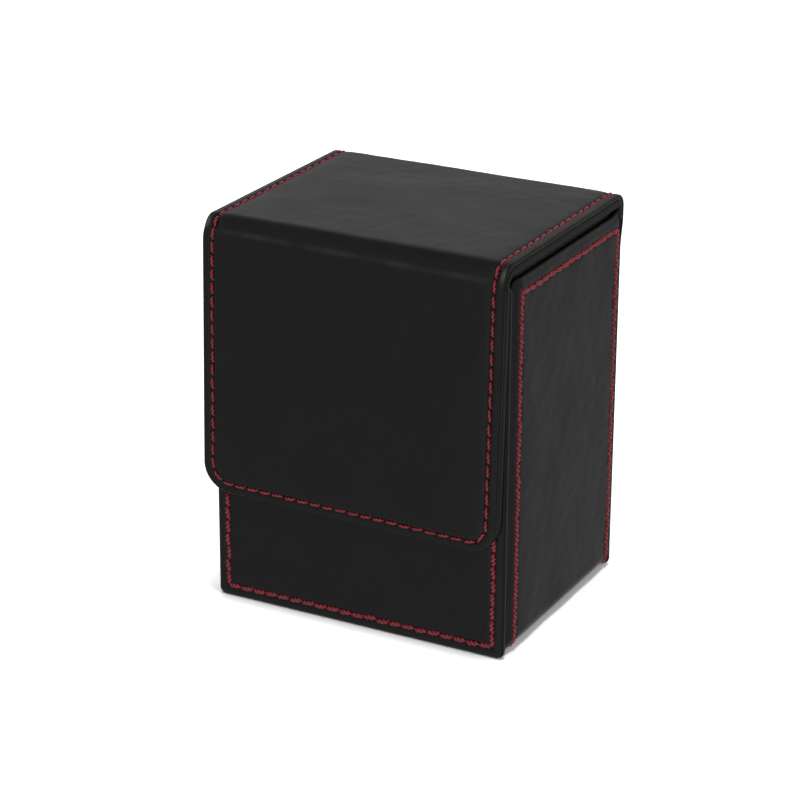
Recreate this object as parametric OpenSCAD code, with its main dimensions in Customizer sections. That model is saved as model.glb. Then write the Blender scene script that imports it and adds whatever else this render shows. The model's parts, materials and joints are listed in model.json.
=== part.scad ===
// Flip-top deck box for trading cards, in leatherette sewn over core board.
// Millimetres. X runs to the right, Y to the back and Z up. The origin is in the middle
// of the underside of the closed box. One wrap makes the back, the lid and the flap.

/* [Card pocket] */
// Clear width of the pocket, across a sleeved card
pocket_w = 70; // [60:0.1:100]
// Clear depth of the pocket, along the stack of cards
pocket_d = 54.3; // [25:0.1:90]
// Clear height from the floor lining to the rim of the tray
pocket_h = 93.7; // [85:0.1:120]

/* [Card tray] */
// Wall and floor thickness of the stiff tray
tray_t = 1.5; // [1:0.1:2.5]
// Thickness of the soft lining sheets in the tray
lining_t = 0.8; // [0.4:0.1:1.2]
// How far the wall linings stop below the rim
lining_drop = 1.2; // [0.5:0.1:3]
// Outer radius of the upright corners of the tray
tray_corner_r = 2.5; // [2.3:0.1:6]
// Edge radius along the rim
rim_edge_r = 0.6; // [0.2:0.05:0.7]
// Clearance between the tray and the panels round it
tray_fit = 0.2; // [0.1:0.05:0.5]

/* [Leather and board] */
// Thickness of the leatherette
leather_t = 0.8; // [0.65:0.05:1.2]
// Thickness of the core boards in the lid, flap, sides, bottom and back
board_t = 1.6; // [1.3:0.1:2.5]
// Thickness of the core board in the front panel
front_board_t = 1.7; // [1.6:0.1:2.5]
// How far a core board stops inside the turned edge of its cover
board_inset = 1.2; // [0.8:0.1:2]
// Width of the leather turned in behind the side and bottom boards
turn_in = 9; // [4:0.5:15]
// Clearance of the back board and its facing between the side panels
board_fit = 0.1; // [0.05:0.05:0.4]
// Edge radius of a turned double edge on the side panels
side_edge_r = 0.9; // [0.3:0.05:1.2]
// Edge radius of the front panel
front_edge_r = 1; // [0.3:0.05:1]
// Edge radius of one leather layer, which leaves the seam line between two
layer_edge_r = 0.7; // [0.2:0.05:0.75]

/* [Body outline] */
// Inner radius where the side panels turn under the bottom
foot_in_r = 0.8; // [0.4:0.1:1.6]
// Corner radius at the top of the side and front panels
panel_corner_r = 2; // [1.7:0.1:6]
// How far the tray rim stands above the side panels
rim_reveal = 2.4; // [1:0.1:6]

/* [Lid and flap] */
// How far the lid and flap stand out past each side panel
lid_overhang = 0.5; // [0:0.1:3]
// Gap between the rim and the underside of the closed lid
rim_gap = 0.4; // [0.2:0.1:1.5]
// Gap between the flap and the front panel
flap_gap = 0.6; // [0.5:0.05:1.5]
// Height of the wrap in front, from the top of the lid to the end of the flap
flap_drop = 73; // [45:0.5:90]
// Corner radius at the end of the flap
flap_corner_r = 7.5; // [3:0.5:20]
// Inner radius of the bend between the lid and the flap
front_bend_in_r = 2.8; // [2.6:0.1:8]
// Inner radius of the hinge bend between the back and the lid
rear_bend_in_r = 0.3; // [0.1:0.1:1]

/* [Magnets] */
// Diameter of the closing magnets
magnet_d = 10; // [6:0.5:14]
// Thickness of a closing magnet
magnet_t = 1; // [0.6:0.1:1.2]
// Distance between the two magnets
magnet_spacing = 48; // [20:1:60]
// Height of the magnets above the end of the flap
magnet_rise = 11; // [9:0.5:25]
// Clearance round a magnet in its pocket
magnet_fit = 0.1; // [0.05:0.05:0.3]

/* [Stitching] */
// Distance from one stitch to the next
stitch_pitch = 3.6; // [2.5:0.1:6]
// Bare leather between the ends of two stitches
stitch_gap = 0.7; // [0.3:0.1:1.5]
// Thread thickness
thread_d = 0.7; // [0.5:0.05:0.85]
// Angle of a stitch to its row
stitch_slant = 4; // [0:0.5:12]
// Clearance of the thread in its groove
thread_fit = 0.05; // [0.04:0.01:0.1]
// Width of the sewn groove
groove_w = 1.6; // [1.5:0.1:2.5]
// Depth of the sewn groove
groove_depth = 0.45; // [0.35:0.05:0.5]
// Distance of the rows from the edges of the lid and flap
wrap_margin = 2.8; // [2.2:0.1:6]
// Distance of the rows from the edges of the front panel
front_margin = 3; // [2.2:0.1:6]
// Distance of the side rows from the front edge of the side panel
side_front_margin = 3.7; // [2:0.1:6]
// Distance of the side rows from the top edge of the side panel
side_top_margin = 3.3; // [2:0.1:6]
// Distance of the side rows from the back edge of the side panel
side_back_margin = 2.3; // [1.9:0.1:6]
// Radius of the stitched corners of the flap
flap_row_r = 4; // [1:0.5:12]

/* [Colours] */
// Leatherette
leather_colour = "#232324";
// Inner leatherette, linings and facings
inner_colour = "#2d2a29";
// Core board
board_colour = "#8f8678";
// Stiff tray
tray_colour = "#33302e";
// Thread
thread_colour = "#a81f33";
// Magnets
magnet_colour = "#b9bcc0";

/* [Hidden] */
$fn = 48;
// Overlap of joined solids
eps = 0.01;
// How far a cut runs out past the end of a panel
run_out = 1;

// Layers
wall_t = board_t + 2 * leather_t;
front_t = front_board_t + leather_t;
half_wall_t = wall_t / 2;
sheet_edge_r = leather_t * 0.4;
foot_r = wall_t + foot_in_r;
front_bend_r = wall_t + front_bend_in_r;
rear_bend_r = wall_t + rear_bend_in_r;
core_corner_r = max(panel_corner_r - board_inset, 0.5);

// Tray, from the pocket outwards
tray_in_w = pocket_w + 2 * lining_t;
tray_in_d = pocket_d + 2 * lining_t;
tray_w = tray_in_w + 2 * tray_t;
tray_d = tray_in_d + 2 * tray_t;
tray_in_r = tray_corner_r - tray_t;
tray_foot_r = foot_in_r - tray_fit;
tray_z = wall_t + tray_fit;
tray_floor_z = tray_z + tray_t;
rim_z = tray_floor_z + lining_t + pocket_h;

// Widths and heights of the panels
body_w = tray_w + 2 * (tray_fit + wall_t);
lid_w = body_w + 2 * lid_overhang;
side_top_z = rim_z - rim_reveal;
lid_under_z = rim_z + rim_gap;
total_h = lid_under_z + wall_t;

// Planes from the front to the back
total_d = wall_t + flap_gap + front_t + tray_fit + tray_d + tray_fit + wall_t;
flap_y = -total_d / 2;
flap_in_y = flap_y + wall_t;
front_y = flap_in_y + flap_gap;
front_in_y = front_y + front_t;
tray_y = front_in_y + tray_fit + tray_d / 2;
back_y = total_d / 2;
back_in_y = back_y - wall_t;
side_back_y = back_y - leather_t;
side_d = side_back_y - front_in_y;
side_y = (side_back_y + front_in_y) / 2;

// Bends and the end of the flap
rear_bend_y = back_y - rear_bend_r;
rear_bend_z = total_h - rear_bend_r;
front_bend_y = flap_y + front_bend_r;
front_bend_z = total_h - front_bend_r;
lid_len = rear_bend_y - front_bend_y;
flap_end_z = total_h - flap_drop;
flap_len = front_bend_z - flap_end_z;
magnet_z = flap_end_z + magnet_rise;

// Sewing: the radius of the groove's round floor, and the thread's height in it
groove_r = (pow(groove_w / 2, 2) + pow(groove_depth, 2)) / (2 * groove_depth);
thread_h = thread_d / 2 + thread_fit - groove_depth;
wrap_row_x = lid_w / 2 - wrap_margin;
front_row_x = body_w / 2 - front_margin;

// ---- Profiles and panels -------------------------------------------------------------

// Section of a panel from its middle to one edge, with that edge rounded
module edge_profile(len, t, r) {
    square([len - r, t]);
    translate([0, r])
        square([len, t - 2 * r]);
    for (y = [r, t - r])
        translate([len - r, y])
            circle(r = r);
}

// Section across a whole panel
module panel_profile(w, t, r) {
    edge_profile(w / 2, t, r);
    mirror([1, 0])
        edge_profile(w / 2, t, r);
}

// Rectangle with round corners
module round_rect(w, h, r) {
    square([w, h - 2 * r], center = true);
    square([w - 2 * r, h], center = true);
    for (x = [-1, 1], y = [-1, 1])
        translate([x * (w / 2 - r), y * (h / 2 - r)])
            circle(r = r);
}

// Rectangle from Y = 0 with its two low corners round
module tab_outline(w, h, r) {
    translate([-w / 2, r])
        square([w, h - r]);
    translate([r - w / 2, 0])
        square([w - 2 * r, h]);
    for (side = [-1, 1])
        translate([side * (w / 2 - r), r])
            circle(r = r);
}

// Straight length of a panel. It lies on XY and runs from the X axis along +Y
module panel_run(w, len, t, r) {
    translate([0, len, 0])
        rotate([90, 0, 0])
            linear_extrude(len)
                panel_profile(w, t, r);
}

// End of a panel with round corners. It runs from the X axis along -Y
module panel_end(w, t, r, corner_r) {
    for (side = [0, 1])
        mirror([side, 0, 0])
            translate([w / 2 - corner_r, 0, 0])
                rotate([0, 0, -90])
                    rotate_extrude(angle = 90)
                        edge_profile(corner_r, t, r);
    translate([w / 2 - corner_r, 0, 0])
        rotate([90, 0, -90])
            linear_extrude(w - 2 * corner_r)
                edge_profile(corner_r, t, r);
}

// Panel with one round end at Y = 0 and a straight cut end at Y = h
module tongue(w, h, t, r, corner_r) {
    translate([0, corner_r, 0]) {
        panel_end(w, t, r, corner_r);
        panel_run(w, h - corner_r, t, r);
    }
}

// Panel with all its edges turned
module panel(w, h, t, r, low_r, top_r) {
    tongue(w, h - top_r, t, r, low_r);
    translate([0, h - top_r, 0])
        mirror([0, 1, 0])
            panel_end(w, t, r, top_r);
}

// Quarter bend of a strip round the X axis of its centre, outside radius bend_r
module strip_bend(bend_r, start) {
    rotate([90, 0, 90])
        rotate([0, 0, start])
            rotate_extrude(angle = 90)
                translate([bend_r, 0])
                    rotate(90)
                        children();
}

// Sewn grooves across a section whose outer face is Y = 0, one at each listed X
module groove_sections(xs) {
    for (x = xs)
        translate([x, groove_depth - groove_r])
            circle(r = groove_r);
}

// Section of the wrap, outer face at Y = 0: two leather layers that meet at a seam line
module wrap_section() {
    difference() {
        union() {
            panel_profile(lid_w, half_wall_t + eps, layer_edge_r);
            translate([0, half_wall_t])
                panel_profile(lid_w, half_wall_t, layer_edge_r);
        }
        groove_sections([-wrap_row_x, wrap_row_x]);
    }
}

// Section of the side wrap, outer face at Y = 0 and front edge at -X
module side_section() {
    difference() {
        panel_profile(side_d, wall_t, side_edge_r);
        groove_sections([side_front_margin - side_d / 2, side_d / 2 - side_back_margin]);
    }
}

// ---- Places: each turns a panel that lies on XY to face outwards ---------------------

module facing_front(y, z = 0) {
    translate([0, y, z])
        rotate([90, 0, 0])
            children();
}

module facing_back(y, z = 0) {
    translate([0, y, z])
        rotate([90, 0, 180])
            children();
}

module facing_right(x, y, z = 0) {
    translate([x, y, z])
        rotate([90, 0, 90])
            children();
}

// ---- Sewing --------------------------------------------------------------------------

function arc(c, r, from, to, n) =
    [for (i = [0:n]) let (a = from + (to - from) * i / n) c + r * [cos(a), sin(a)]];

function leg(path, i) = norm(path[i + 1] - path[i]);

function path_len(path, i = 0) =
    i >= len(path) - 1 ? 0 : leg(path, i) + path_len(path, i + 1);

function point_at(path, s, i = 0) =
    s <= leg(path, i) || i == len(path) - 2
        ? path[i] + (path[i + 1] - path[i]) * s / leg(path, i)
        : point_at(path, s - leg(path, i), i + 1);

// One stitch: a round-ended length of thread along +X, centred
module stitch(len) {
    r = thread_d / 2;
    translate([-len / 2, 0, thread_h])
        rotate([0, 90, 0])
            rotate_extrude()
                intersection() {
                    square([r, len]);
                    union() {
                        for (end = [r, len - r])
                            translate([0, end])
                                circle(r = r);
                        translate([0, r])
                            square([r, len - 2 * r]);
                    }
                }
}

// Row of stitches along a path on the face Z = 0. On an arc a stitch lies half its sag
// inside the row
module stitch_row(path) {
    count = floor(path_len(path) / stitch_pitch);
    step = path_len(path) / count;
    for (i = [0:count - 1]) {
        a = point_at(path, step * i + stitch_gap / 2);
        b = point_at(path, step * (i + 1) - stitch_gap / 2);
        middle = (point_at(path, step * (i + 0.5)) + (a + b) / 2) / 2;
        turn = atan2(b[1] - a[1], b[0] - a[0]) + stitch_slant;
        translate([middle[0], middle[1], 0])
            rotate([0, 0, turn])
                stitch(norm(b - a));
    }
}

// Rows along straight legs, with a needle hole at each corner
module stitch_legs(path) {
    for (i = [0:len(path) - 2])
        stitch_row([path[i], path[i + 1]]);
}

// Sewn groove from a to b in the face Z = 0
module groove(a, b) {
    turn = atan2(b[1] - a[1], b[0] - a[0]);
    translate([a[0], a[1], groove_r - groove_depth])
        rotate([0, 0, turn])
            rotate([0, 90, 0])
                cylinder(r = groove_r, h = norm(b - a));
}

// Round end or sharp corner of a groove
module groove_end(p) {
    translate([p[0], p[1], groove_r - groove_depth])
        sphere(r = groove_r);
}

// Groove round a quarter circle
module groove_arc(c, r, start) {
    translate([c[0], c[1], groove_r - groove_depth])
        rotate([0, 0, start])
            rotate_extrude(angle = 90)
                translate([r, 0])
                    circle(r = groove_r);
}

// Grooves along a path of straight legs with sharp corners
module groove_path(path) {
    for (i = [0:len(path) - 2])
        groove(path[i], path[i + 1]);
    for (i = [1:len(path) - 2])
        groove_end(path[i]);
}

// Rows, each in the plane of its own panel
front_row = [
    [-front_row_x, side_top_z - front_margin], [-front_row_x, front_margin],
    [front_row_x, front_margin], [front_row_x, side_top_z - front_margin]
];
side_row = [
    [-side_d / 2 + side_front_margin, foot_r],
    [-side_d / 2 + side_front_margin, side_top_z - side_top_margin],
    [side_d / 2 - side_back_margin, side_top_z - side_top_margin],
    [side_d / 2 - side_back_margin, foot_r]
];
back_row = [
    [-wrap_row_x, side_top_z], [-wrap_row_x, front_margin],
    [wrap_row_x, front_margin], [wrap_row_x, side_top_z]
];
flap_arc_x = wrap_row_x - flap_row_r;
flap_arc_z = wrap_margin + flap_row_r;
flap_row = concat(
    [[-wrap_row_x, flap_len]],
    arc([-flap_arc_x, flap_arc_z], flap_row_r, 180, 270, 4),
    arc([flap_arc_x, flap_arc_z], flap_row_r, 270, 360, 4),
    [[wrap_row_x, flap_len]]
);

// ---- Tray and linings ----------------------------------------------------------------

// Upright section of a tray wall with a rounded rim and foot, outer face at X = tray_t
module tray_wall_profile() {
    translate([tray_t, tray_foot_r])
        rotate(90)
            edge_profile(rim_z - tray_z - tray_foot_r, tray_t, rim_edge_r);
    square([tray_t - tray_foot_r, tray_foot_r]);
    intersection() {
        translate([tray_t - tray_foot_r, tray_foot_r])
            circle(r = tray_foot_r);
        square([tray_t, tray_foot_r]);
    }
}

// Straight tray wall of a given length, outer face at X = out
module tray_wall(out, len) {
    translate([out - tray_t, len / 2, 0])
        rotate([90, 0, 0])
            linear_extrude(len)
                tray_wall_profile();
}

module card_tray() {
    color(tray_colour)
        translate([0, tray_y, tray_z]) {
            linear_extrude(tray_t)
                round_rect(tray_in_w, tray_in_d, tray_in_r);
            for (turn = [0, 180])
                rotate([0, 0, turn]) {
                    tray_wall(tray_w / 2, tray_d - 2 * tray_corner_r);
                    rotate([0, 0, 90])
                        tray_wall(tray_d / 2, tray_w - 2 * tray_corner_r);
                    for (side = [0, 1])
                        mirror([0, side, 0])
                            translate([tray_w / 2 - tray_corner_r, tray_d / 2 - tray_corner_r, 0])
                                rotate_extrude(angle = 90)
                                    translate([tray_corner_r - tray_t, 0])
                                        tray_wall_profile();
                }
        }
}

module tray_floor_lining() {
    color(inner_colour)
        translate([0, tray_y, tray_floor_z])
            linear_extrude(lining_t)
                round_rect(tray_in_w, tray_in_d, tray_in_r);
}

// Lining sheet of one wall, back against Y = 0 and facing -Y
module wall_lining(w) {
    translate([-w / 2, -lining_t, tray_floor_z + lining_t])
        cube([w, lining_t, pocket_h - lining_drop]);
}

module tray_back_lining() {
    color(inner_colour)
        translate([0, tray_y + tray_in_d / 2, 0])
            wall_lining(tray_in_w - 2 * tray_in_r);
}

module tray_front_lining() {
    color(inner_colour)
        translate([0, tray_y - tray_in_d / 2, 0])
            rotate([0, 0, 180])
                wall_lining(tray_in_w - 2 * tray_in_r);
}

module side_lining(side) {
    color(inner_colour)
        translate([side * tray_in_w / 2, tray_y, 0])
            rotate([0, 0, -90 * side])
                wall_lining(tray_in_d - 2 * tray_in_r);
}

module tray_left_lining() {
    side_lining(-1);
}

module tray_right_lining() {
    side_lining(1);
}

// ---- Body panels ---------------------------------------------------------------------

// Right half of the leather that runs down a side and under the bottom
module side_leg() {
    facing_right(body_w / 2 - wall_t, side_y)
        difference() {
            union() {
                translate([0, foot_r, 0])
                    panel_run(side_d, side_top_z - foot_r - panel_corner_r, wall_t, side_edge_r);
                translate([0, side_top_z - panel_corner_r, 0])
                    mirror([0, 1, 0])
                        panel_end(side_d, wall_t, side_edge_r, panel_corner_r);
            }
            side_core(leather_t, 0);
            side_core(-eps, turn_in);
            translate([0, 0, wall_t])
                groove_path(side_row);
        }
}

// Core board of a side panel in its own plane, thinned to a window by an extra inset
module side_core(z, inset) {
    w = side_d - 2 * (board_inset + inset);
    h = side_top_z - foot_r - board_inset - 2 * inset;
    translate([0, foot_r + inset + h / 2, z])
        linear_extrude(inset > 0 ? leather_t + 2 * eps : board_t)
            round_rect(w, h, core_corner_r);
}

module side_wrap() {
    floor_w = body_w - 2 * foot_r;
    color(leather_colour) {
        for (side = [0, 1])
            mirror([side, 0, 0]) {
                side_leg();
                translate([body_w / 2 - foot_r, side_y, foot_r])
                    rotate([90, 0, 0])
                        rotate([0, 0, -90])
                            rotate_extrude(angle = 90)
                                translate([foot_r, 0])
                                    rotate(90)
                                        mirror([1, 0])
                                            side_section();
            }
        difference() {
            translate([-floor_w / 2, side_y, 0])
                rotate([90, 0, 90])
                    linear_extrude(floor_w)
                        side_section();
            floor_core(leather_t, 0);
            floor_core(board_t + leather_t - eps, turn_in);
        }
    }
}

// Core board of the bottom, thinned to a window by an extra inset
module floor_core(z, inset) {
    w = body_w - 2 * foot_r - 2 * board_inset - 2 * inset;
    d = side_d - 2 * board_inset - 2 * inset;
    translate([-w / 2, side_y - d / 2, z])
        cube([w, d, inset > 0 ? leather_t + 2 * eps : board_t]);
}

module right_board() {
    color(board_colour)
        facing_right(body_w / 2 - wall_t, side_y)
            side_core(leather_t, 0);
}

module left_board() {
    mirror([1, 0, 0])
        right_board();
}

module bottom_board() {
    color(board_colour)
        floor_core(leather_t, 0);
}

// Core board of the front panel, back at Z = 0
module front_core() {
    w = body_w - 2 * board_inset;
    h = side_top_z - 2 * board_inset;
    translate([0, side_top_z / 2, 0])
        linear_extrude(front_board_t)
            round_rect(w, h, core_corner_r);
}

module front_cover() {
    color(leather_colour)
        facing_front(front_in_y)
            difference() {
                panel(body_w, side_top_z, front_t, front_edge_r, foot_r, panel_corner_r);
                front_core();
                translate([0, 0, front_t])
                    groove_path(front_row);
            }
}

// The two magnets of a panel, at their height in it
module magnet_pair(z, d, t) {
    for (side = [-1, 1])
        translate([side * magnet_spacing / 2, z, 0])
            cylinder(d = d, h = t);
}

module front_board() {
    color(board_colour)
        facing_front(front_in_y)
            difference() {
                front_core();
                translate([0, 0, -eps])
                    magnet_pair(magnet_z, magnet_d + 2 * magnet_fit, magnet_t + magnet_fit + eps);
            }
}

module body_magnets() {
    color(magnet_colour)
        facing_front(front_in_y)
            magnet_pair(magnet_z, magnet_d, magnet_t);
}

module back_cover() {
    color(leather_colour)
        facing_back(side_back_y)
            difference() {
                tongue(body_w, side_top_z, leather_t, sheet_edge_r, foot_r);
                translate([0, 0, leather_t])
                    groove_path(back_row);
            }
}

// Flat sheet that stands on the bottom strip between the side panels
module back_sheet(y, t) {
    w = body_w - 2 * (wall_t + board_fit);
    facing_back(y, wall_t)
        linear_extrude(t)
            tab_outline(w, side_top_z - wall_t, foot_in_r);
}

module back_board() {
    color(board_colour)
        back_sheet(side_back_y - board_t, board_t);
}

module back_facing() {
    color(inner_colour)
        back_sheet(back_in_y, leather_t);
}

// ---- Wrap: hinge, lid, bend and flap -------------------------------------------------

module rear_hinge() {
    color(leather_colour) {
        translate([0, rear_bend_y, rear_bend_z])
            strip_bend(rear_bend_r, 0)
                wrap_section();
        facing_back(back_y, rear_bend_z)
            rotate([90, 0, 0])
                linear_extrude(rear_bend_z - side_top_z)
                    mirror([0, 1])
                        wrap_section();
    }
}

module front_bend() {
    color(leather_colour)
        translate([0, front_bend_y, front_bend_z])
            strip_bend(front_bend_r, 90)
                wrap_section();
}

// Core board of the lid, in its place above the underside at Z = 0
module lid_core() {
    w = lid_w - 2 * board_inset;
    translate([-w / 2, 0, leather_t])
        cube([w, lid_len, board_t]);
}

// One leather layer of the lid; z is 0 for the lining and half the thickness for the cover
module lid_layer(z) {
    difference() {
        translate([0, 0, z])
            panel_run(lid_w, lid_len, half_wall_t, layer_edge_r);
        lid_core();
    }
}

module on_lid() {
    translate([0, front_bend_y, lid_under_z])
        children();
}

module lid_cover() {
    color(leather_colour)
        on_lid()
            difference() {
                lid_layer(half_wall_t);
                for (side = [-1, 1])
                    translate([0, 0, wall_t])
                        groove([side * wrap_row_x, -run_out], [side * wrap_row_x, lid_len + run_out]);
            }
}

module lid_lining() {
    color(inner_colour)
        on_lid()
            lid_layer(0);
}

module lid_board() {
    color(board_colour)
        on_lid()
            lid_core();
}

// Core board of the flap, back of the lining at Z = 0 and flap end at Y = 0
module flap_core() {
    r = flap_corner_r - board_inset;
    w = lid_w - 2 * board_inset;
    h = flap_len - board_inset;
    translate([0, board_inset, leather_t])
        linear_extrude(board_t)
            tab_outline(w, h, r);
}

module flap_layer(z) {
    difference() {
        translate([0, 0, z])
            tongue(lid_w, flap_len, half_wall_t, layer_edge_r, flap_corner_r);
        flap_core();
    }
}

module flap_cover() {
    color(leather_colour)
        facing_front(flap_in_y, flap_end_z)
            difference() {
                flap_layer(half_wall_t);
                translate([0, 0, wall_t]) {
                    for (side = [-1, 1])
                        groove([side * wrap_row_x, flap_arc_z], [side * wrap_row_x, flap_len + run_out]);
                    groove([-flap_arc_x, wrap_margin], [flap_arc_x, wrap_margin]);
                    groove_arc([-flap_arc_x, flap_arc_z], flap_row_r, 180);
                    groove_arc([flap_arc_x, flap_arc_z], flap_row_r, 270);
                }
            }
}

module flap_lining() {
    color(inner_colour)
        facing_front(flap_in_y, flap_end_z)
            flap_layer(0);
}

module flap_board() {
    color(board_colour)
        facing_front(flap_in_y, flap_end_z)
            difference() {
                flap_core();
                translate([0, 0, leather_t - eps])
                    magnet_pair(magnet_rise, magnet_d + 2 * magnet_fit, magnet_t + magnet_fit + eps);
            }
}

module flap_magnets() {
    color(magnet_colour)
        facing_front(flap_in_y, flap_end_z)
            translate([0, 0, leather_t])
                magnet_pair(magnet_rise, magnet_d, magnet_t);
}

// ---- Stitching -----------------------------------------------------------------------

module front_stitching() {
    color(thread_colour)
        facing_front(front_y)
            stitch_legs(front_row);
}

module right_stitching() {
    color(thread_colour)
        facing_right(body_w / 2, side_y)
            stitch_legs(side_row);
}

module left_stitching() {
    mirror([1, 0, 0])
        right_stitching();
}

module back_stitching() {
    color(thread_colour)
        facing_back(back_y)
            stitch_legs(back_row);
}

module lid_stitching() {
    color(thread_colour)
        on_lid()
            for (side = [-1, 1])
                translate([0, 0, wall_t])
                    stitch_row([[side * wrap_row_x, 0], [side * wrap_row_x, lid_len]]);
}

module flap_stitching() {
    color(thread_colour)
        facing_front(flap_y, flap_end_z)
            stitch_row(flap_row);
}

card_tray();
tray_floor_lining();
tray_front_lining();
tray_back_lining();
tray_left_lining();
tray_right_lining();
side_wrap();
left_board();
right_board();
bottom_board();
front_cover();
front_board();
body_magnets();
back_cover();
back_board();
back_facing();
front_stitching();
left_stitching();
right_stitching();
back_stitching();
rear_hinge();
lid_cover();
lid_board();
lid_lining();
lid_stitching();
front_bend();
flap_cover();
flap_board();
flap_lining();
flap_magnets();
flap_stitching();
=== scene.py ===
"""Flip-top card deck box in stitched leatherette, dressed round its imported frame."""

import json
import math

import bpy
import numpy as np
from bpy.props import FloatProperty, FloatVectorProperty, IntProperty, PointerProperty
from mathutils import Matrix, Vector


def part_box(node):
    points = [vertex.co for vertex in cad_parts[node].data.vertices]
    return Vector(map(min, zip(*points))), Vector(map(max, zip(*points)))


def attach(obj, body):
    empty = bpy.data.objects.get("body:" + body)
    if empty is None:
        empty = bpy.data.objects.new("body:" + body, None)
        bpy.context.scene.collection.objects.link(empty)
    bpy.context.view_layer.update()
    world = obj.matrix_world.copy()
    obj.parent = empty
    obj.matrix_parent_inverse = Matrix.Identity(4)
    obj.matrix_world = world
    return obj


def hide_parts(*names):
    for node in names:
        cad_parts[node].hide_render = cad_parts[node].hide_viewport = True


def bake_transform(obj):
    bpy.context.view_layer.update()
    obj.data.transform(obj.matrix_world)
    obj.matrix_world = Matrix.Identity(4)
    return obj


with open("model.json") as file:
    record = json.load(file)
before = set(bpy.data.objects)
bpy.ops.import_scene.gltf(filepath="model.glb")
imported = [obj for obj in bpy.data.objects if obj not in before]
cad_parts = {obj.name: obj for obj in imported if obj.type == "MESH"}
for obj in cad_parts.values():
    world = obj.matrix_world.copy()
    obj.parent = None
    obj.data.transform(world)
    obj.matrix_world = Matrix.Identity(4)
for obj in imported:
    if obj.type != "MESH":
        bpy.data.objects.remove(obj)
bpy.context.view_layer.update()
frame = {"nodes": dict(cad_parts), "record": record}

bl_info = {
    "name": "Stitched Deck Box",
    "version": (1, 0, 0),
    "blender": (4, 5, 0),
    "location": "3D View > Sidebar > Deck Box",
    "description": "Makes the leather, linings and thread of a flip-top card deck box",
    "category": "Object",
}

MM = 0.001


# ---- Sizes that come from the frame, in millimetres ----------------------------------


def corners(node):
    """Lowest and highest corners of a CAD node."""
    low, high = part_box(node)
    return np.round(np.array(low) / MM, 3), np.round(np.array(high) / MM, 3)


FLAP_LOW = corners("flap_cover")[0]
BEND_HIGH = corners("front_bend")[1]
HINGE_LOW = corners("rear_hinge")[0]
LID_LOW, LID_HIGH = corners("lid_cover")
LID_BOARD_HIGH = corners("lid_board")[1]
FLAP_BOARD_LOW, FLAP_BOARD_HIGH = corners("flap_board")
FRONT_LOW, FRONT_HIGH = corners("front_cover")
BACK_LOW, BACK_HIGH = corners("back_cover")
SIDE_LOW, SIDE_HIGH = corners("side_wrap")

TOP_Z = LID_HIGH[2]
WRAP_W = LID_HIGH[0] - LID_LOW[0]
WRAP_T = TOP_Z - corners("lid_lining")[0][2]
FLAP_Y = FLAP_LOW[1]
FLAP_END = FLAP_LOW[2]
FRONT_BEND_R = BEND_HIGH[1] - FLAP_Y
REAR_BEND_R = BACK_HIGH[1] - HINGE_LOW[1]
BACK_Y = BACK_HIGH[1]
PANEL_TOP = HINGE_LOW[2]
BODY_W = FRONT_HIGH[0] - FRONT_LOW[0]
BACK_T = BACK_HIGH[1] - BACK_LOW[1]
FRONT_T = FRONT_HIGH[1] - FRONT_LOW[1]
SIDE_D = SIDE_HIGH[1] - SIDE_LOW[1]
SIDE_MID = (SIDE_HIGH[1] + SIDE_LOW[1]) / 2
SIDE_SEAM = WRAP_T / 2
FOOT_R = corners("left_board")[0][2]
LID_MID = (LID_LOW[1] + LID_HIGH[1]) / 2


# ---- Properties ----------------------------------------------------------------------


def length_property(name, description, millimetres, low=0.0, high=20.0):
    return FloatProperty(
        name=name,
        description=description,
        default=millimetres * MM,
        min=low * MM,
        max=high * MM,
        precision=5,
        unit="LENGTH",
    )


def colour_property(name, description, colour):
    return FloatVectorProperty(
        name=name,
        description=description,
        default=colour,
        size=3,
        min=0.0,
        max=1.0,
        subtype="COLOR",
    )


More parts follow.
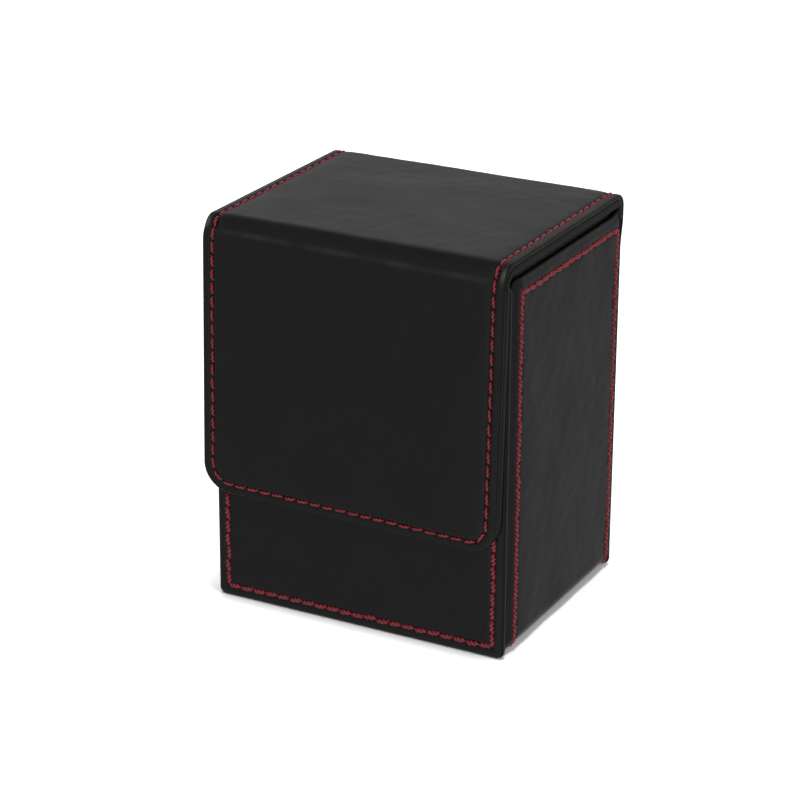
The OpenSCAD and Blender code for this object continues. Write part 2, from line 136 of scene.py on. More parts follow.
class DECKBOX_PG_leather(bpy.types.PropertyGroup):
    """Sizes and colours of the leather and the linings."""

    wrap_margin: length_property(
        "Wrap margin", "Distance of the rows from the edges of the lid and flap", 2.8
    )
    end_margin: length_property(
        "End margin", "Distance of the row from the end of the flap", 2.45
    )
    front_margin: length_property(
        "Front margin", "Distance of the rows from the edges of the front panel", 3.0
    )
    side_front_margin: length_property(
        "Side front margin", "Distance of the side rows from the front edge", 4.25
    )
    side_top_margin: length_property(
        "Side top margin", "Distance of the side rows from the top edge", 3.35
    )
    side_back_margin: length_property(
        "Side back margin", "Distance of the side rows from the back edge", 1.95
    )
    flap_corner: length_property("Flap corner", "Corner radius at the flap's end", 7.5)
    foot_corner: length_property("Foot corner", "Low corner radius of front and back", 1.8)
    panel_corner: length_property("Panel corner", "Top corner radius of the panels", 2)
    seam: length_property("Seam", "Depth of the seam line in the lid and flap", 1.1)
    layer_edge: length_property("Layer edge", "Edge radius of the outer leather", 0.7)
    inner_edge: length_property("Inner edge", "Edge radius of the inner leather", 0.5)
    seam_edge: length_property("Seam edge", "Edge radius of the layers at a seam", 0.35)
    side_edge: length_property("Side edge", "Edge radius of the side panels", 0.55)
    side_slope: length_property(
        "Side slope", "How far the side panels fall away towards the front", 0.75
    )
    front_edge: length_property("Front edge", "Edge radius of the front panel", 0.95)
    lip: length_property("Lip", "Height of the raised lip along an edge", 0.09)
    crown: length_property("Crown", "How far the leather swells inside a row", 0.36)
    pillow: length_property("Pillow", "How far the leather swells outside a row", 0.16)
    groove: length_property("Groove", "Depth of a sewn row below the leather", 0.31)
    pucker: length_property("Pucker", "Extra depth of a needle hole", 0.3)
    bend_dip: length_property("Bend dip", "How far the leather sinks off the board", 0.3)
    # The crease is a ridge with a hollow above it, and it carries a painted highlight.
    crease: length_property("Crease", "Height of the worn crease above the flap", 2.35)
    flap_turn: FloatProperty(
        name="Flap turn",
        description="How far the flap hangs out of square",
        default=0.0165,
        subtype="ANGLE",
    )
    outside: colour_property(
        "Outside", "Colour of the outer leather", (0.0025, 0.0025, 0.0026)
    )
    inside: colour_property(
        "Inside", "Colour of the inner leather", (0.0056, 0.0057, 0.0044)
    )
    raw: colour_property(
        "Raw", "Colour of the side panels' inner layer", (0.0300, 0.0275, 0.0220)
    )
    grain: length_property("Grain", "Width of one cell of the leather's grain", 0.55)


class DECKBOX_PG_thread(bpy.types.PropertyGroup):
    """Sizes and colours of the thread."""

    pitch: length_property("Pitch", "Distance from one stitch to the next", 3.6)
    gap: length_property("Gap", "Bare leather between two stitches", 0.5)
    thickness: length_property("Thickness", "Thickness of the thread", 0.72)
    proud: length_property("Proud", "How far the thread stands out", 0.24)
    slant: FloatProperty(
        name="Slant",
        description="Angle of a stitch to its row",
        default=math.radians(5),
        subtype="ANGLE",
    )
    seed: IntProperty(name="Seed", description="Choice of the uneven stitches", default=7)
    colour: colour_property("Colour", "Colour of the thread", (0.133, 0.0035, 0.0087))


class DECKBOX_PG_stage(bpy.types.PropertyGroup):
    """Floor, light and camera."""

    sky: FloatProperty(name="Sky", description="Strength of the even light", default=0.60)
    key: FloatProperty(
        name="Key", description="Strength of the soft light from above", default=3.0
    )
    side: FloatProperty(
        name="Side", description="Strength of the soft light from the right", default=1.3
    )
    floor: colour_property("Floor", "Colour of the floor", (0.95, 0.95, 0.95))


# ---- Shapes --------------------------------------------------------------------------


def smooth(t):
    """Rises from 0 to 1 as t does, with level ends."""
    t = np.clip(t, 0.0, 1.0)
    return t * t * (3 - 2 * t)


def rise(x, start, reach):
    """Rises from 0 at a start to 1 after a reach."""
    return smooth((x - start) / reach)


def bell(x, centre, reach):
    """Is 1 at a centre and falls off to both sides over a reach."""
    return np.exp(-(((x - centre) / reach) ** 2))


WAVES, SHORTEST, LONGEST, WAVE_HEIGHT = 10, 0.7, 1.5, 3.2


def swell(u, v, size, seed):
    """Even, seeded waves over a face, mostly between -1 and 1."""
    rng = np.random.default_rng(seed)
    total = np.zeros_like(u)
    for _ in range(WAVES):
        turn, phase = rng.uniform(0, 2 * math.pi, 2)
        k = 2 * math.pi / (size * rng.uniform(SHORTEST, LONGEST))
        total += np.sin(k * (u * math.cos(turn) + v * math.sin(turn)) + phase)
    return total / WAVE_HEIGHT


def graded(stops, steps):
    """Positions from the first stop to the last, with equal steps in each stretch."""
    found = [np.array([stops[0]])]
    for a, b, step in zip(stops, stops[1:], steps):
        if b > a + 1e-6:
            found.append(np.linspace(a, b, max(1, round((b - a) / step)) + 1)[1:])
    return np.concatenate(found)


class Strip:
    """Outer line of a bent panel: straight legs and right-hand turns in one plane.

    A leg is (length, radius), and radius 0 is straight. The panel's width runs along X
    or, with across=1, along Y. Depth is measured to the right of the line's heading.
    """

    def __init__(self, start, heading, legs, across=0, offset=0.0):
        self.across, self.offset = across, offset
        self.legs, self.starts = [], []
        point, turn, run = np.array(start, float), math.radians(heading), 0.0
        for length, radius in legs:
            self.starts.append(run)
            self.legs.append((point.copy(), turn, radius))
            if radius:
                centre = point + radius * self._right(turn)
                turn -= length / radius
                point = centre - radius * self._right(turn)
            else:
                point = point + length * np.array([math.cos(turn), math.sin(turn)])
            run += length
        self.length = run

    @staticmethod
    def _right(turn):
        return np.array([np.sin(turn), -np.cos(turn)])

    def place(self, u, v, depth):
        """Points at width u, length v and depth, in millimetres in the part's frame."""
        u, v, depth = np.broadcast_arrays(u, v, depth)
        leg = np.clip(np.searchsorted(self.starts, v, side="right") - 1, 0, None)
        plane = np.zeros((2,) + v.shape)
        for i, (point, turn, radius) in enumerate(self.legs):
            on = leg == i
            s = v[on] - self.starts[i]
            if radius:
                here = turn - s / radius
                centre = point + radius * self._right(turn)
                plane[:, on] = centre[:, None] + (depth[on] - radius) * self._right(here)
            else:
                way = np.array([math.cos(turn), math.sin(turn)])
                side = self._right(turn)
                plane[:, on] = point[:, None] + way[:, None] * s + side[:, None] * depth[on]
        wide = u + self.offset
        parts = [plane[0], wide, plane[1]] if self.across else [wide, plane[0], plane[1]]
        return np.stack(parts, axis=-1)


SHARP_ANGLE = 50


def mesh_piece(name, points, faces, material, body=None):
    """A smooth-shaded object from points in millimetres, facing outwards."""
    mesh = bpy.data.meshes.new(name)
    mesh.from_pydata((points * MM).tolist(), [], faces)
    if signed_volume(points, faces) < 0:
        mesh.flip_normals()
    mesh.polygons.foreach_set("use_smooth", [True] * len(mesh.polygons))
    mesh.set_sharp_from_angle(angle=math.radians(SHARP_ANGLE))
    mesh.materials.append(material)
    if mesh.validate():
        raise RuntimeError(f"{name} has faces that don't hold")
    piece = bpy.data.objects.new(name, mesh)
    bpy.context.scene.collection.objects.link(piece)
    if body:
        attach(piece, body)
    return piece


def signed_volume(points, faces):
    """Six times the volume that the faces enclose."""
    total = 0.0
    for size in {len(f) for f in faces}:
        same = np.array([f for f in faces if len(f) == size])
        for k in range(1, size - 1):
            a, b, c = points[same[:, 0]], points[same[:, k]], points[same[:, k + 1]]
            total += np.einsum("ij,ij->", a, np.cross(b, c))
    return total


# Farther away, in millimetres, than anything on this box.
FAR_AWAY = 1e3


class Panel:
    """A closed panel laid on a strip: a finely modelled face, a plain back and walls.

    Each edge is (corner radius, row margin). A radius of None is a plain cut edge.
    """

    RIM_STEPS = 4
    EDGE_STEP = 0.5

    def __init__(self, strip, width, low, high, face, back, edges, steps, coarse=4):
        self.strip, self.width, self.low, self.high = strip, width, low, high
        self.face, self.back, self.coarse = face, back, coarse
        self.back_at = lambda v: np.full_like(v, back)
        self.start, self.end, self.left, self.right = edges
        self.face_edge, self.back_edge = steps["face_edge"], steps["back_edge"]
        self.steps = steps
        self.warp = lambda u, v: (u, v)
        self.relief = lambda u, v, edge, sewn: 0 * u
        # An optional function of u and v that gives a painted highlight, which lightens the
        # face's colour.
        self.worn = None
        self.wide = None

    def _rim(self):
        turns = np.linspace(math.pi / 2, 0, self.RIM_STEPS + 1)
        return self.face_edge * (1 - np.sin(turns))

    def _insets(self, margin, reach, step):
        """Insets from a rounded edge inwards, finest across its sewn row."""
        rim = self._rim()
        band = self.steps["band"]
        if margin is None:
            return np.concatenate([rim[:-1], graded([rim[-1], reach], [step])])
        near, far = max(rim[-1], margin - band), min(margin + band, reach)
        fine = self.steps["fine"]
        return np.concatenate(
            [rim[:-1], graded([rim[-1], near, far, reach], [self.EDGE_STEP, fine, step])]
        )

    def _line(self, span, first, last, step):
        """Grid positions along one direction, from -span/2 to span/2."""
        half = span / 2
        ends = []
        for corner, margin in (first, last):
            if corner is None:
                ends.append(graded([0.0, half], [step]))
            else:
                ends.append(self._insets(margin, half, step))
        return np.concatenate([ends[0] - half, (half - ends[1])[::-1][1:]])

    @staticmethod
    def _depth(edge, radius):
        """Depth of a quarter-round edge at an inset."""
        x = np.clip(radius - edge, 0, radius)
        return radius - np.sqrt(np.maximum(radius**2 - x**2, 0))

    def _surface(self, us, vs):
        """Mapped positions with edge and row distances, on the grid us by vs."""
        u, v = np.meshgrid(us, vs, indexing="ij")
        half, mid = self.width / 2, (self.low + self.high) / 2
        reach = (self.high - self.low) / 2
        sides = {
            "left": (u + half, self.left),
            "right": (half - u, self.right),
            "start": (v + reach, self.start),
            "end": (reach - v, self.end),
        }
        edge, sewn = np.full_like(u, FAR_AWAY), np.full_like(u, FAR_AWAY)
        for inset, (corner, margin) in sides.values():
            if corner is not None:
                edge = np.minimum(edge, inset)
                if margin is not None:
                    sewn = np.minimum(sewn, inset - margin)
        for name, sign in (("start", -1), ("end", 1)):
            corner = sides[name][1][0]
            if not corner:
                continue
            for side in (-1, 1):
                a = side * u - (half - corner)
                b = sign * v - (reach - corner)
                on = (a > 1e-9) & (b > 1e-9)
                a, b = a[on], b[on]
                out = np.maximum(a, b)
                part = math.pi / 4 * np.minimum(a, b) / out
                turn = np.where(a >= b, part, math.pi / 2 - part)
                u[on] = side * (half - corner + out * np.cos(turn))
                v[on] = sign * (reach - corner + out * np.sin(turn))
        v = v + mid
        if self.wide is not None:
            u = u * self.wide(v)
        return u, v, edge, sewn

    def build(self, name, material, body=None):
        us = self._line(self.width, self.left, self.right, self.steps["across"])
        vs = self._line(self.high - self.low, self.start, self.end, self.steps["along"])
        sign = 1.0 if self.back > self.face else -1.0
        u, v, edge, sewn = self._surface(us, vs)
        u2, v2 = self.warp(u, v)
        depth = self.face + sign * (
            self._depth(edge, self.face_edge) - self.relief(u, v, edge, sewn)
        )
        front = self.strip.place(u2, v2, depth)
        keep_u, keep_v = self._kept(len(us)), self._kept(len(vs))
        pick = np.ix_(keep_u, keep_v)
        sunk = sign * self._depth(edge[pick], self.back_edge)
        back = self.strip.place(u2[pick], v2[pick], self.back_at(v[pick]) - sunk)
        points = np.concatenate([front.reshape(-1, 3), back.reshape(-1, 3)])
        faces = self._faces(len(us), len(vs), keep_u, keep_v)
        piece = mesh_piece(name, points, faces, material, body)
        # The painted highlight rides on the face's points, and the back's points carry none.
        if self.worn is not None:
            worn = np.concatenate([self.worn(u, v).ravel(), np.zeros(back.size // 3)])
            layer = piece.data.attributes.new("worn", "FLOAT", "POINT")
            layer.data.foreach_set("value", worn.astype(np.float32))
        return piece

    def _kept(self, count):
        """Grid lines that the plain back keeps: the rim's own and every few between."""
        rim = self.RIM_STEPS
        inner = range(rim, count - rim, self.coarse)
        return sorted({*range(rim + 1), *inner, *range(count - rim - 1, count)})

    @staticmethod
    def _faces(nu, nv, keep_u, keep_v):
        """Faces of the front grid, the back grid and the walls between them."""
        front = np.arange(nu * nv).reshape(nu, nv)
        ku, kv = len(keep_u), len(keep_v)
        back = np.arange(ku * kv).reshape(ku, kv) + nu * nv
        quads = np.stack(
            [front[:-1, :-1], front[1:, :-1], front[1:, 1:], front[:-1, 1:]], -1
        ).reshape(-1, 4)
        turned = np.stack(
            [back[:-1, :-1], back[:-1, 1:], back[1:, 1:], back[1:, :-1]], -1
        ).reshape(-1, 4)
        faces = quads.tolist() + turned.tolist()
        sides = [
            (front[:, 0], back[:, 0], keep_u, True),
            (front[-1, :], back[-1, :], keep_v, True),
            (front[:, -1], back[:, -1], keep_u, False),
            (front[0, :], back[0, :], keep_v, False),
        ]
        for line, under, kept, forward in sides:
            for i in range(len(kept) - 1):
                run = line[kept[i] : kept[i + 1] + 1].tolist()
                face = run[::-1] + [int(under[i]), int(under[i + 1])]
                faces.append(face if forward else face[::-1])
        return faces


class Row:
    """A sewn row along a line of points on a panel's face."""

    def __init__(self, points):
        self.points = np.array(points, float)
        step = np.diff(self.points, axis=0)
        self.run = np.concatenate([[0.0], np.cumsum(np.hypot(step[:, 0], step[:, 1]))])

    def at(self, s):
        """Points at distances s along the row."""
        x = np.interp(s, self.run, self.points[:, 0])
        y = np.interp(s, self.run, self.points[:, 1])
        return np.stack([x, y], -1)

    def holes(self, pitch):
        """Distances of the needle holes along the row."""
        count = max(1, round(self.run[-1] / pitch))
        return np.linspace(0, self.run[-1], count + 1)


def legs(points):
    """One row for each straight leg of a line with sharp corners."""
    return [Row([a, b]) for a, b in zip(points, points[1:])]


ARC_STEPS = 16


def arc(centre, radius, start, end):
    """Points on an arc between two angles in degrees."""
    turns = np.radians(np.linspace(start, end, ARC_STEPS + 1))
    return [(centre[0] + radius * math.cos(a), centre[1] + radius * math.sin(a)) for a in turns]


HOLE_REACH = 0.5


def hole_dips(rows):
    """A function of the distance to the nearest needle hole of the rows."""
    pitch = bpy.context.scene.deck_box_thread.pitch / MM
    found = np.concatenate([row.at(row.holes(pitch)) for row in rows])

    def dips(u, v):
        near = np.full(u.shape, FAR_AWAY)
        for x, y in found:
            near = np.minimum(near, (u - x) ** 2 + (v - y) ** 2)
        return np.exp(-near / HOLE_REACH**2)

    return dips


class Stitching:
    """Collects stitches on one or more panels and makes one piece of them."""

    RINGS = 15
    SIDES = 12
    TURNS = 1.5
    # How steeply a tight stitch dives at its ends.
    HUMP = 3
    # How far slack stitches stray: in radians, in millimetres, and in length as a share.
    STRAY_TURN, STRAY_ACROSS, STRAY_HEIGHT, STRAY_BOW = 0.07, 0.10, 0.04, 0.12
    STRAY_LENGTH = 0.02
    # Depth of a stitch's ends below the face, and how much of it and of the gap to the
    # next stitch slack ones lose.
    DIVE, DIVE_LOSS, GAP_LOSS = 0.75, 0.35, 1.2
    # Shares of the radius: what the ends lose, the middle of the plies and their swell.
    TAPER, CORE, PLY = 0.35, 0.88, 0.16

    def __init__(self, thread, seed):
        self.thread = thread
        self.rng = np.random.default_rng(seed)
        self.points, self.ply = [], []

    def sew(self, strip, rows, face=0.0, out=1.0, bulk=1.0, loose=0.3, proud=None, warp=None):
        """Adds the stitches of rows on a panel's face. Out is -1 on an inner face.

        Face is the depth of that face, or a function that gives it along the strip. Bulk
        scales the thread's thickness, and proud says how far it stands out. Loose is 0
        for tight, even stitches and 1 for slack ones, which wander and nearly touch.
        """
        thread = self.thread
        for row in rows:
            holes = row.holes(thread.pitch / MM)
            starts, ends = holes[:-1], holes[1:]
            n = len(starts)
            rng = self.rng
            gap = thread.gap / MM / 2 * (1 - self.GAP_LOSS * loose)
            a = row.at(starts + gap)
            b = row.at(ends - gap)
            mid = (a + b) / 4 + row.at((starts + ends) / 2) / 2
            way = b - a
            size = np.hypot(way[:, 0], way[:, 1])
            turn = np.arctan2(way[:, 1], way[:, 0]) + thread.slant
            turn = turn + rng.normal(0, self.STRAY_TURN * loose, n)
            along = np.stack([np.cos(turn), np.sin(turn)], -1)
            cross = np.stack([-np.sin(turn), np.cos(turn)], -1)
            mid = mid + cross * rng.normal(0, self.STRAY_ACROSS * loose, n)[:, None]
            t = np.linspace(-1, 1, self.RINGS)[None, :, None]
            ring = np.linspace(0, 2 * math.pi, self.SIDES, endpoint=False)[None, None]
            radius = bulk * thread.thickness / MM / 2
            top = (thread.proud / MM if proud is None else proud) - radius
            top = top + rng.normal(0, self.STRAY_HEIGHT * loose, n)[:, None, None]
            bow = rng.normal(0, self.STRAY_BOW * loose, n)[:, None, None] * (1 - t**2)
            dive = self.DIVE - self.DIVE_LOSS * loose
            height = top - (top + dive) * np.abs(t) ** (self.HUMP * (1 + loose))
            twist = self.TURNS * math.pi * t + rng.uniform(0, math.pi, n)[:, None, None]
            lobe = np.cos(2 * (ring - twist))
            rho = radius * (1 - self.TAPER * t**4) * (self.CORE + self.PLY * lobe)
            sideways = bow + rho * np.cos(ring)
            up = height + rho * np.sin(ring)
            half = (size / 2 * rng.normal(1, self.STRAY_LENGTH * loose, n))[:, None, None]
            u, v = (
                mid[:, axis][:, None, None]
                + along[:, axis][:, None, None] * t * half
                + cross[:, axis][:, None, None] * sideways
                for axis in (0, 1)
            )
            if warp:
                u, v = warp(u, v)
            level = face(v) if callable(face) else face
            self.points.append(strip.place(u, v, level - out * up).reshape(-1, 3))
            # The plies' lobes, which the thread's finish turns into painted highlight on the
            # ridges and painted shade in the hollows.
            self.ply.append((0.5 + 0.5 * lobe).reshape(-1))

    def build(self, name, material, body=None):
        points = np.concatenate(self.points)
        ply = np.concatenate(self.ply)
        rings, sides = self.RINGS, self.SIDES
        size = rings * sides
        count = len(points) // size
        grid = np.arange(size).reshape(rings, sides)
        turned = np.roll(grid, -1, axis=1)
        quads = np.stack([grid[:-1], grid[1:], turned[1:], turned[:-1]], -1).reshape(-1, 4)
        base = (np.arange(count) * size)[:, None]
        faces = (quads[None] + base[..., None]).reshape(-1, 4).tolist()
        faces += (grid[0][None] + base).tolist()
        faces += (grid[-1][::-1][None] + base).tolist()
        piece = mesh_piece(name, points, faces, material, body)
        # Stored for the thread's painted highlight and shade.
        layer = piece.data.attributes.new("ply", "FLOAT", "POINT")
        layer.data.foreach_set("value", ply.astype(np.float32))
        return piece


# ---- Finishes ------------------------------------------------------------------------


class Field:
    """A shader socket that takes part in arithmetic. Each operator adds a Math node."""

    def __init__(self, finish, socket):
        self.finish, self.socket = finish, socket

    def _math(self, operation, a, b):
        return self.finish.node("ShaderNodeMath", {"operation": operation}, {0: a, 1: b})

    def __add__(self, other):
        return self._math("ADD", self, other)

    def __radd__(self, other):
        return self._math("ADD", other, self)

    def __sub__(self, other):
        return self._math("SUBTRACT", self, other)

    def __rsub__(self, other):
        return self._math("SUBTRACT", other, self)

    def __mul__(self, other):
        return self._math("MULTIPLY", self, other)

    def __rmul__(self, other):
        return self._math("MULTIPLY", other, self)

    def __pow__(self, other):
        return self._math("POWER", self, other)


class Nodes:
    """Adds nodes to a tree, one call at a time."""

    def __init__(self, tree):
        self.tree = tree

    @staticmethod
    def _socket(sockets, key):
        if isinstance(key, int):
            return sockets[key]
        return next(s for s in sockets if key in (s.identifier, s.name))

    def node(self, kind, settings=None, inputs=None, output=0):
        """Adds a node, sets it up, then fills its sockets with values or fields."""
        made = self.tree.nodes.new(kind)
        for key, value in (settings or {}).items():
            setattr(made, key, value)
        for key, value in (inputs or {}).items():
            self._fill(self._socket(made.inputs, key), value)
        return Field(self, self._socket(made.outputs, output))

    def _fill(self, socket, value):
        if isinstance(value, Field):
            self.tree.links.new(value.socket, socket)
        elif isinstance(value, (tuple, list)) and len(value) == 3 and socket.type == "RGBA":
            socket.default_value = (*value, 1)
        else:
            socket.default_value = value

    def spread(self, field, low, high):
        """Stretches a field so that low becomes 0 and high becomes 1."""
        return self.node(
            "ShaderNodeMapRange",
            {"interpolation_type": "SMOOTHSTEP"},
            {"Value": field, "From Min": low, "From Max": high},
        )


class Finish(Nodes):
    """A material with one principled surface."""

    def __init__(self, name, **constants):
        self.material = bpy.data.materials.new(name)
        self.material.use_nodes = True
        super().__init__(self.material.node_tree)
        self.tree.nodes.clear()
        self.surface = self.tree.nodes.new("ShaderNodeBsdfPrincipled")
        output = self.tree.nodes.new("ShaderNodeOutputMaterial")
        self.tree.links.new(self.surface.outputs["BSDF"], output.inputs["Surface"])
        for key, value in constants.items():
            self.surface.inputs[key.replace("_", " ")].default_value = value

    def set(self, **fields):
        """Feeds fields to the surface's own sockets and returns the material."""
        for key, value in fields.items():
            self._fill(self.surface.inputs[key.replace("_", " ")], value)
        return self.material

    def place(self):
        """The piece's own coordinates, in metres."""
        return self.node("ShaderNodeTexCoord", output="Object")

    def painted(self, name):
        """A value that the piece's points carry."""
        return self.node("ShaderNodeAttribute", {"attribute_name": name}, output="Fac")

    def noise(self, size, detail=2.0, rough=0.5):
        """Noise with features of a size in millimetres, from 0 to 1."""
        inputs = {"Vector": self.place(), "Scale": 1 / (size * MM)}
        inputs.update({"Detail": detail, "Roughness": rough})
        return self.node("ShaderNodeTexNoise", None, inputs, "Fac")

    def cells(self, size, feature="F1"):
        """Distances in a pattern of cells with a size in millimetres."""
        inputs = {"Vector": self.place(), "Scale": 1 / (size * MM)}
        return self.node("ShaderNodeTexVoronoi", {"feature": feature}, inputs, "Distance")

    def tint(self, factor, a, b):
        """Mixes two colours."""
        inputs = {"Factor_Float": factor, "A_Color": a, "B_Color": b}
        return self.node("ShaderNodeMix", {"data_type": "RGBA"}, inputs, "Result_Color")

    def shades(self, factor, colour, dark, light):
        """Mixes a colour's darker and lighter shades, each a multiple of it."""
        return self.tint(factor, scaled(colour, dark), scaled(colour, light))

    def bump(self, height, millimetres, normal=None):
        """A normal from a height field of a depth in millimetres."""
        inputs = {"Height": height, "Distance": millimetres * MM, "Strength": 1.0}
        if normal:
            inputs["Normal"] = normal
        return self.node("ShaderNodeBump", None, inputs)


def scaled(colour, factor):
    return tuple(min(1.0, c * factor) for c in colour)


# How many times lighter than the leather a full painted highlight is.
PAINTED_HIGHLIGHT_TINT = 24


def leather_finish(name, colour, grain, depth, rough, level):
    """Smooth leatherette with a fine, pressed grain of a depth in millimetres."""
    finish = Finish(name, Specular_IOR_Level=level)
    cell = grain / MM
    creases = finish.spread(finish.cells(cell, "DISTANCE_TO_EDGE"), 0.0, 0.35)
    fine = finish.noise(cell * 0.6, 3.0, 0.6)
    soft = finish.noise(14.0, 3.0, 0.55)
    cloudy = finish.noise(45.0, 2.0, 0.5)
    plain = finish.shades(soft, colour, 0.8, 1.25)
    # Where the points carry a painted highlight, the base colour is lightened towards it.
    return finish.set(
        Base_Color=finish.tint(finish.painted("worn"), plain, scaled(colour, PAINTED_HIGHLIGHT_TINT)),
        Roughness=rough + 0.10 * (soft - 0.5) + 0.10 * (cloudy - 0.5) + 0.06 * (fine - 0.5),
        Normal=finish.bump(0.55 * creases + 0.45 * fine, depth, finish.bump(soft, 0.25)),
    )


def lining_finish(name, colour):
    """Warm inner leatherette with a short nap."""
    finish = Finish(name, Specular_IOR_Level=0.16, Sheen_Weight=0.06, Sheen_Roughness=0.4)
    nap = finish.noise(0.35, 4.0, 0.65)
    soft = finish.noise(11.0, 2.0)
    patches = 0.5 * nap + 0.5 * soft
    return finish.set(
        Base_Color=finish.shades(patches, colour, 0.7, 1.35),
        Roughness=0.62 + 0.2 * (nap - 0.5),
        Normal=finish.bump(nap, 0.03, finish.bump(soft, 0.15)),
    )


def thread_finish(name, colour):
    """Shiny twisted polyester thread."""
    finish = Finish(name, Specular_IOR_Level=0.30, Sheen_Weight=0.05)
    fibre = finish.noise(0.16, 2.0, 0.6)
    uneven = finish.noise(1.6, 2.0)
    # Painted highlight on the ridges of the plies and painted shade in the hollows between
    # them, mixed with random tone from the fibres: the colour runs from a dark shade of the
    # thread to a lighter, slightly paler one.
    painted_ply_light = (0.65 * finish.painted("ply") + 0.15 * fibre + 0.3 * uneven) ** 2.2
    bright = tuple(0.005 + 2.2 * c for c in colour)
    return finish.set(
        Base_Color=finish.tint(painted_ply_light, scaled(colour, 0.38), bright),
        Roughness=0.32 + 0.2 * (fibre - 0.5),
        Normal=finish.bump(fibre, 0.03),
    )


def board_finish(name, colour):
    """Raw grey board with flecks of fibre."""
    finish = Finish(name, Specular_IOR_Level=0.2)
    fibre = finish.noise(0.8, 4.0, 0.7)
    flecks = finish.spread(finish.cells(2.6), 0.05, 0.16)
    pulp = 0.6 * fibre + 0.4 * flecks
    return finish.set(
        Base_Color=finish.shades(pulp, colour, 0.6, 1.2),
        Roughness=0.8 + 0.1 * (fibre - 0.5),
        Normal=finish.bump(fibre, 0.05),
    )


def tray_finish(name, colour):
    """Matte moulded tray with a fine spark-eroded texture."""
    finish = Finish(name, Specular_IOR_Level=0.3)
    speck = finish.noise(0.3, 3.0, 0.6)
    soft = finish.noise(18.0, 2.0)
    return finish.set(
        Base_Color=finish.shades(soft, colour, 0.85, 1.15),
        Roughness=0.55 + 0.15 * (speck - 0.5) + 0.08 * (soft - 0.5),
        Normal=finish.bump(speck, 0.02),
    )


def magnet_finish(name, colour):
    """Plated metal with fine turned scratches."""
    finish = Finish(name, Metallic=1.0)
    scratch = finish.noise(0.25, 4.0, 0.7)
    blotch = finish.noise(3.0, 2.0)
    return finish.set(
        Base_Color=finish.shades(blotch, colour, 0.85, 1.1),
        Roughness=0.22 + 0.2 * (scratch - 0.3) + 0.1 * blotch,
        Normal=finish.bump(scratch, 0.004),
    )


def floor_finish(name, colour):
    """Plain pale paper."""
    finish = Finish(name, Specular_IOR_Level=0.1)
    fibre = finish.noise(1.5, 3.0)
    return finish.set(
        Base_Color=finish.shades(fibre, colour, 0.995, 1.0),
        Roughness=0.85 + 0.05 * (fibre - 0.5),
    )


# Each leather's colour property, depth of grain, roughness and specular level.
LEATHERS = {
    "leatherette": ("outside", 0.02, 0.38, 0.178),
    "leatherette_inner": ("inside", 0.03, 0.48, 0.085),
    "leatherette_raw_edge": ("raw", 0.03, 0.55, 0.2),
}
MAKERS = {"board": board_finish, "tray": tray_finish, "magnet": magnet_finish}


def finish_for(kind):
    """The finish of a kind of leather or of another material slot, made once."""
    name = f"{kind}_finish"
    if name in bpy.data.materials:
        return bpy.data.materials[name]
    leather = bpy.context.scene.deck_box_leather
    if kind in LEATHERS:
        colour, *values = LEATHERS[kind]
        return leather_finish(name, getattr(leather, colour), leather.grain, *values)
    if kind == "lining":
        return lining_finish(name, leather.inside)
    if kind == "thread":
        return thread_finish(name, bpy.context.scene.deck_box_thread.colour)
    told = next(m for m in frame["record"]["materials"] if m["slot"] == kind)
    return MAKERS[kind](name, tuple(told["base_color"]))


def dress_nodes(names, slot, kind=None):
    """Gives CAD nodes that stay in view a finish."""
    material = finish_for(kind or slot)
    for name in names:
        node = frame["nodes"][name]
        if not node.material_slots:
            node.data.materials.append(material)
        for held in node.material_slots:
            held.material = material


# ---- Strips and rows of this box -----------------------------------------------------


def wrap_front_strip():
    """From the flap's end up, over the front bend and to the middle of the lid."""
    return Strip(
        (FLAP_Y, FLAP_END),
        90,
        [
            (TOP_Z - FRONT_BEND_R - FLAP_END, 0),
            (math.pi / 2 * FRONT_BEND_R, FRONT_BEND_R),
            (LID_MID - (FLAP_Y + FRONT_BEND_R), 0),
        ],
    )


def wrap_rear_strip():
    """From the middle of the lid back, over the hinge and down to the foot."""
    return Strip(
        (LID_MID, TOP_Z),
        0,
        [
            (BACK_Y - REAR_BEND_R - LID_MID, 0),
            (math.pi / 2 * REAR_BEND_R, REAR_BEND_R),
            (TOP_Z - REAR_BEND_R, 0),
        ],
    )


PAST_BOARD = 0.4


def lid_rear_strip():
    """From the middle of the lid back to just past its core board."""
    return Strip((LID_MID, TOP_Z), 0, [(LID_BOARD_HIGH[1] + PAST_BOARD - LID_MID, 0)])


def lid_rows(settings, end):
    """The rows under the lid's rear half, up to an end."""
    x = WRAP_W / 2 - settings.wrap_margin / MM
    return [Row([(-x, 0), (-x, end)]), Row([(x, 0), (x, end)])]


def front_strip():
    return Strip((FRONT_LOW[1], 0.0), 90, [(PANEL_TOP, 0)])


def side_strip():
    """Down the right side, round the foot, under the bottom and up the left side."""
    half = BODY_W / 2
    return Strip(
        (half, PANEL_TOP),
        -90,
        [
            (PANEL_TOP - FOOT_R, 0),
            (math.pi / 2 * FOOT_R, FOOT_R),
            (BODY_W - 2 * FOOT_R, 0),
            (math.pi / 2 * FOOT_R, FOOT_R),
            (PANEL_TOP - FOOT_R, 0),
        ],
        across=1,
        offset=SIDE_MID,
    )


TURN_BELOW, TURN_ABOVE = 4.0, 6.0


def flap_turn(u, v):
    """Turns the flap a little in its own plane, from the bend down."""
    turn = bpy.context.scene.deck_box_leather.flap_turn
    top = TOP_Z - FRONT_BEND_R - FLAP_END
    low, high = top - TURN_BELOW, top + math.pi / 2 * FRONT_BEND_R + TURN_ABOVE
    x = np.clip((v - low) / (high - low), 0, 1)
    run = (high - low) * (0.5 - x + x**3 - x**4 / 2) + np.clip(low - v, 0, None)
    return u - turn * run, v - turn * (1 - smooth(x)) * u


